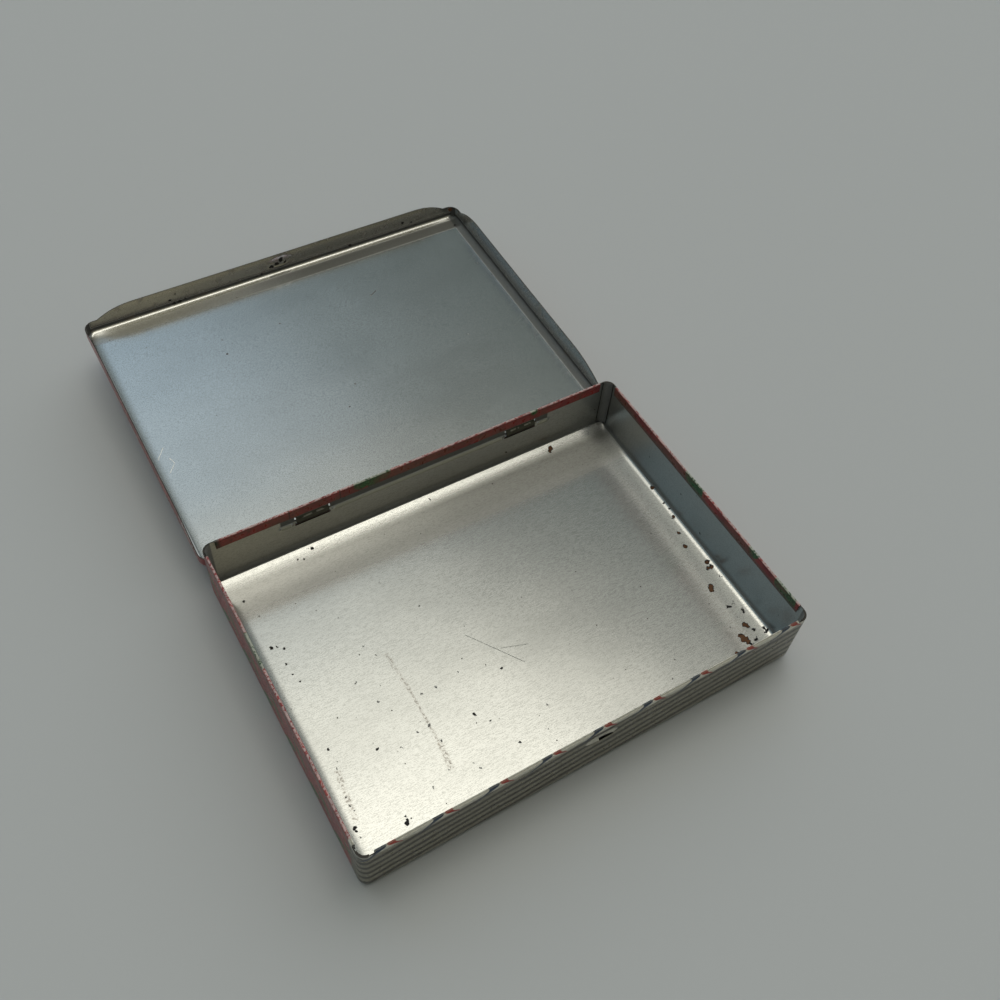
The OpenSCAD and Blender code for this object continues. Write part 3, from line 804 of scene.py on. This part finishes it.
# what lies or sticks inside the lid, in its own frame before it is opened: x, y, z and radius in mm
IN_PANEL = -7
IN_FRONT = 103.9
LID_SOOT = [(-5.8, 36.1, IN_PANEL, 0.3), (-31.4, 81.8, IN_PANEL, 0.35), (-32.3, 75.1, IN_PANEL, 0.4),
            (-10.9, 80.3, IN_PANEL, 0.3), (68, 98.4, IN_PANEL, 0.6), (67.3, 69.2, IN_PANEL, 0.35),
            (65.5, 77, IN_PANEL, 0.3), (45, 47.5, IN_PANEL, 0.3), (0, 44.3, IN_PANEL, 0.3),
            (-69.6, 102.5, IN_PANEL, 0.6), (-70, 100, IN_PANEL, 0.4), (-40.7, IN_FRONT, -3.9, 0.5),
            (-39.6, IN_FRONT, -6, 0.7), (-37.6, IN_FRONT, -5.8, 0.6), (-38.6, IN_FRONT, -2, 0.35),
            (-35.4, IN_FRONT, -5.6, 0.4), (-19, IN_FRONT, -4.1, 0.3), (-7.5, IN_FRONT, -5.6, 0.4),
            (-9.2, IN_FRONT, -5.8, 0.3), (0, IN_FRONT - 0.3, -1.3, 1), (-1.6, IN_FRONT - 0.3, -2.4, 1),
            (-3.6, IN_FRONT - 0.3, -3.3, 0.9), (1.4, IN_FRONT - 0.3, -2.6, 0.8),
            (27.1, IN_FRONT, -5.4, 0.6), (25.4, IN_FRONT, -5.8, 0.4), (48.5, IN_FRONT, -3, 0.5),
            (52.2, IN_FRONT, -3.9, 0.4), (44, IN_FRONT, -5.6, 0.3), (50, IN_FRONT, -5.7, 0.3),
            (54, IN_FRONT, -5.6, 0.3)]
BRIGHT_SCRATCHES = [((-68, 43.2), (-65, 47.2)), ((-66.6, 36.8), (-64, 39.8)), ((-64.6, 42.6), (-63.9, 40))]
LID_STEP = 16 * MM
LID_ROW = 14 * MM


def lid_frame(tree, place):
    """The place on the lid as it was before the lid was set on its hinge."""
    inputs = {"Vector": place, "Location": hinge_axis, "Rotation": (tilt, 0, 0)}
    return add(tree, "ShaderNodeMapping", inputs, vector_type="TEXTURE").outputs[0]


def lid_dirt_and_painted_shade(tree, place):
    """Dirt and painted shade inside the lid: a painted dark foot round its skirt, dark seams at the corners,
    specks and stains.
    """
    place = lid_frame(tree, place)
    x, y, z = add(tree, "ShaderNodeSeparateXYZ", {0: place}).outputs
    past_x = calc(tree, "SUBTRACT", calc(tree, "ABSOLUTE", x), lid_half_w)
    past_y = calc(tree, "SUBTRACT", y, skirt_front)
    skirt = ramp(tree, calc(tree, "MAXIMUM", past_x, past_y), -1.1 * MM, -0.7 * MM)
    # painted shade at the foot of the skirt
    foot = band(tree, z, panel_z + 0.7 * MM, panel_z + 1.8 * MM, 0.6 * MM)
    yield times(tree, skirt, foot, 0.9), GRIME_AND_SHADE
    seam = times(tree, ramp(tree, past_x, -2.6 * MM, -2 * MM), ramp(tree, past_y, -2.6 * MM, -2 * MM))
    seam = times(tree, seam, ramp(tree, z, panel_z + 0.3 * MM, panel_z + 0.8 * MM))
    yield times(tree, seam, 0.9), GRIME_AND_SHADE
    on_panel = ramp(tree, z, panel_z, panel_z + MM, 1.0, 0.0)
    # a darker band along the far skirt, a painted reflection in the panel
    far_edge = times(tree, band(tree, past_y, -7 * MM, -2.6 * MM, 1.2 * MM), on_panel)
    yield times(tree, far_edge, ramp(tree, x, -45 * MM, 15 * MM, 0.25, 0.85)), (0.045, 0.043, 0.03)
    # painted shade along the bend to the right skirt
    low = ramp(tree, z, panel_z + 0.5 * MM, panel_z + 1.2 * MM, 1.0, 0.0)
    right_bend = times(tree, ramp(tree, x, lid_half_w - 3.6 * MM, lid_half_w - 2.6 * MM), low)
    yield times(tree, right_bend, 0.75), (0.04, 0.045, 0.045)
    old = times(tree, skirt, ramp(tree, clouding(tree, place, 4 * MM, detail=4, seed=8), 0.5, 0.72, 0.0, 0.4))
    yield old, (0.16, 0.12, 0.07)
    broken = ragged(tree, place, 0.9 * MM, 0.7 * MM)
    yield spots(tree, broken, [(68.8, IN_FRONT, -3.5, 1)], 0.2 * MM), RUST
    yield spots(tree, broken, LID_SOOT, 0.14 * MM), SOOT
    yield specks(tree, place, 9 * MM, 0.25 * MM, 0.25), (0.08, 0.075, 0.065)
    for start, end in BRIGHT_SCRATCHES:
        yield times(tree, scratch(tree, place, start, end, 0.2 * MM), 0.8), (0.85, 0.88, 0.88)
    yield scratch(tree, place, (23, 78.8), (26, 80.4), 0.25 * MM), (0.06, 0.06, 0.06)


def lid_print():
    """Red with a cream line round the panel, and inside it rows of green leaves and cream dots."""
    finish, tree, shader, place = new_finish("lid print")
    x, y, z = add(tree, "ShaderNodeSeparateXYZ", {0: lid_frame(tree, place)}).outputs
    y = calc(tree, "SUBTRACT", y, (skirt_front + skirt_back) / 2)
    colour = blend(tree, ramp(tree, clouding(tree, place, 6 * MM, detail=3), 0.4, 0.65), DEEP_RED, RED)
    margin = calc(tree, "MINIMUM", calc(tree, "SUBTRACT", lid_half_w, calc(tree, "ABSOLUTE", x)),
                  calc(tree, "SUBTRACT", lid_half_d, calc(tree, "ABSOLUTE", y)))
    in_field = ramp(tree, margin, 8.4 * MM, 8.6 * MM)
    for shift, lean in ((0.0, 0.75), (0.5, -0.75)):
        along = repeat(tree, x, LID_STEP, shift * LID_STEP)
        across = repeat(tree, y, LID_ROW, shift * LID_ROW)
        green = times(tree, in_field, leaf(tree, along, across, lean, LEAF_HALF, 1.8 * MM))
        vein = times(tree, in_field, leaf(tree, along, across, lean, VEIN_HALF, VEIN_WIDTH))
        colour = blend(tree, green, colour, GREEN)
        colour = blend(tree, vein, colour, DARK_GREEN)
        beside = repeat(tree, x, LID_STEP, (shift + 0.5) * LID_STEP)
        away = calc(tree, "SQRT", calc(tree, "ADD", times(tree, beside, beside), times(tree, across, across)))
        dot = times(tree, in_field, ramp(tree, away, 0.65 * MM, 0.85 * MM, 1.0, 0.0))
        colour = blend(tree, dot, colour, CREAM)
    colour = blend(tree, band(tree, margin, 5.6 * MM, 6.4 * MM, 0.1 * MM), colour, CREAM)

    # the curls' tin is grubby and painted darker underneath as shade, with a painted highlight where they
    # turn over
    as_open = add(tree, "ShaderNodeSeparateXYZ", {0: place}).outputs
    up = calc(tree, "SUBTRACT", as_open[2], hinge_axis.z)
    back = calc(tree, "SUBTRACT", as_open[1], hinge_axis.y)
    from_axis = calc(tree, "SQRT", calc(tree, "ADD", times(tree, back, back), times(tree, up, up)))
    on_curl = ramp(tree, from_axis, 2.2 * MM, 2.4 * MM, 1.0, 0.0)
    curl_grime_and_shade = blend(tree, ramp(tree, up, -0.6 * MM, 0.2 * MM), (0.02, 0.019, 0.014), (0.09, 0.087, 0.064))
    bright = times(tree, band(tree, up, 1 * MM, 1.4 * MM, 0.2 * MM),
                   ramp(tree, clouding(tree, place, 1.6 * MM, detail=3, seed=1), 0.4, 0.5))
    from_middle = calc(tree, "ABSOLUTE", calc(tree, "SUBTRACT", calc(tree, "ABSOLUTE", x), CURL_SPAN / 2))
    bright = times(tree, bright, ramp(tree, from_middle, 3.4 * MM, 4 * MM, 1.0, 0.0))
    curl_grime_and_shade = blend(tree, bright, curl_grime_and_shade, (0.36, 0.35, 0.29))
    colour = blend(tree, on_curl, colour, curl_grime_and_shade)
    at_left = times(tree, ramp(tree, x, -70.4 * MM, -70.2 * MM, 1.0, 0.0),
                    band(tree, y, -46.6 * MM, -35.5 * MM, 1 * MM))
    at_left = times(tree, at_left, ramp(tree, z, panel_z + 3.2 * MM, panel_z + 3.8 * MM))
    chipped = ramp(tree, clouding(tree, place, 1.2 * MM, detail=3, seed=1), 0.46, 0.54)
    colour = blend(tree, times(tree, at_left, chipped), colour, (0.7, 0.7, 0.66))
    ink(tree, shader, colour, place, on_curl)
    return finish


thicken(lid, (lid_print(), bare_tin("lid inside", (1, 1.6, 1), lid_dirt_and_painted_shade), cut_edge))
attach(lid, "lid")
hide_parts("lid")

# ---------------------------------------------------------------------------
# Table, light and camera. The table is plain and pale. The studio is painted by direction: a warm light
# overhead, a cool one beyond the lid and dimmer sides, which is what the bare tin mirrors.
# ---------------------------------------------------------------------------
TABLE_GREY = (0.485, 0.5, 0.507, 1)
CAMERA_PLACE = (-0.09771, -0.13076, 0.28009)
CAMERA_TURN = (36.431, -3.659, -30.505)
CAMERA_LENS = 39.034

bpy.ops.mesh.primitive_plane_add(size=4)
table = bpy.context.object
table.name = "table"
table_top = bpy.data.materials.new("pale table")
table_top.use_nodes = True
table_shader = table_top.node_tree.nodes["Principled BSDF"]
table_shader.inputs["Base Color"].default_value = TABLE_GREY
table_shader.inputs["Roughness"].default_value = 0.6
table.data.materials.append(table_top)

bpy.ops.object.camera_add(location=CAMERA_PLACE, rotation=[math.radians(angle) for angle in CAMERA_TURN])
bpy.context.scene.camera = bpy.context.object
bpy.context.object.data.lens = CAMERA_LENS
bpy.context.scene.view_settings.view_transform = "Standard"

WARM_NEAR = (1.85, 1.81, 1.6)
WARM_MID = (1.4, 1.38, 1.23)
WARM_FAR = (0.95, 0.96, 0.86)
WARM_FRONT = (0.5, 0.46, 0.32)
PALE_FRONT = (0.31, 0.285, 0.19)
DIM_FRONT = (0.14, 0.13, 0.08)
DARK_FRONT = (0.07, 0.065, 0.055)
COOL_NEAR = (0.3, 0.3, 0.27)
COOL_HIGH = (0.54, 0.68, 0.79)
COOL_LOW = (0.36, 0.5, 0.63)
COOL_LEFT = (0.16, 0.22, 0.245)
DARK_LEFT = (0.06, 0.085, 0.105)
DIM_RIGHT = (0.12, 0.15, 0.15)
HORIZON = (0.62, 0.65, 0.67)

world = bpy.data.worlds.new("studio")
bpy.context.scene.world = world
world.use_nodes = True
air = world.node_tree
# x, y and z are the direction looked in: right, away and up
direction = add(air, "ShaderNodeTexCoord").outputs["Generated"]
x, y, z = add(air, "ShaderNodeSeparateXYZ", {0: direction}).outputs
sky = blend(air, ramp(air, y, 0.58, 0.76), COOL_HIGH, COOL_LOW)
sky = blend(air, ramp(air, y, 0.5, 0.57), COOL_NEAR, sky)
beyond = calc(air, "MAXIMUM", calc(air, "SUBTRACT", y, 0.25), 0.0)
rightward = calc(air, "ADD", x, times(air, beyond, 0.75))
sky = blend(air, ramp(air, rightward, 0.36, 0.62), sky, DIM_RIGHT)
left = blend(air, ramp(air, y, 0.4, 0.6), COOL_LEFT, DARK_LEFT)
sky = blend(air, ramp(air, x, -0.42, -0.2, 1.0, 0.0), sky, left)
front = blend(air, ramp(air, y, -0.72, -0.52), WARM_FRONT, PALE_FRONT)
front = blend(air, ramp(air, x, 0.05, 0.45), front, DIM_FRONT)
front = blend(air, ramp(air, x, -0.35, -0.15, 1.0, 0.0), front, COOL_LEFT)
front = blend(air, ramp(air, z, 0.4, 0.75), DARK_FRONT, front)
sky = blend(air, ramp(air, y, -0.3, 0.0), front, sky)
low = times(air, ramp(air, z, 0.35, 0.6, 1.0, 0.0), ramp(air, calc(air, "ADD", x, y), 0.0, 0.4))
sky = blend(air, low, sky, HORIZON)
panel = blend(air, ramp(air, y, 0.24, 0.38), WARM_NEAR, WARM_MID)
panel = blend(air, ramp(air, y, 0.38, 0.46), panel, WARM_FAR)
overhead = times(air, band(air, y, -0.22, 0.49, 0.03), ramp(air, x, -0.35, -0.25))
overhead = times(air, overhead, ramp(air, rightward, 0.36, 0.42, 1.0, 0.0))
overhead = times(air, overhead, ramp(air, z, 0.2, 0.5))
sky = blend(air, overhead, sky, panel)
sky = blend(air, ramp(air, z, 0.1, 0.22), HORIZON, sky)
air.links.new(sky, air.nodes["Background"].inputs[0])
air.nodes["Background"].inputs[1].default_value = 1.0

# one broad soft lamp from the right, kept out of the metal's reflections
bpy.ops.object.light_add(type="SUN", rotation=(0, math.radians(50), math.radians(35)))
lamp = bpy.context.object
lamp.name = "soft lamp"
lamp.data.energy = 0.8
lamp.data.angle = math.radians(60)
lamp.visible_glossy = False
